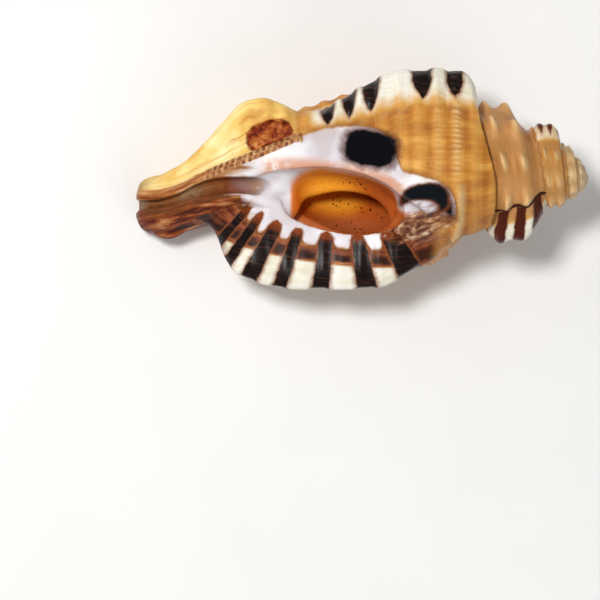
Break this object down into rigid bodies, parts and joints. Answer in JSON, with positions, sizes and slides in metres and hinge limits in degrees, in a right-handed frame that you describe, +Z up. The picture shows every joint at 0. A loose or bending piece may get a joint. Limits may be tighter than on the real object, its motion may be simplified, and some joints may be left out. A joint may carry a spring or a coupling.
{
  "type": "triton shell",
  "caption": "Spired sea snail shell lying on its back, with a ribbed flared lip, an open oval mouth and a long open canal.",
  "frame": {"origin": "centre of the shell's footprint box, on the surface that it rests on", "axes": "+X towards the tip of the spire, +Y away from the outer lip, +Z up out of the mouth"},
  "size_m": [0.1175, 0.0584, 0.0499],
  "materials": {
    "shell": "glossy aragonite shell: ochre ribs, white callus, dark brown bars and blotches, orange throat"
  },
  "bodies": {
    "root": {"triton_shell": "shell"}
  },
  "joints": []
}
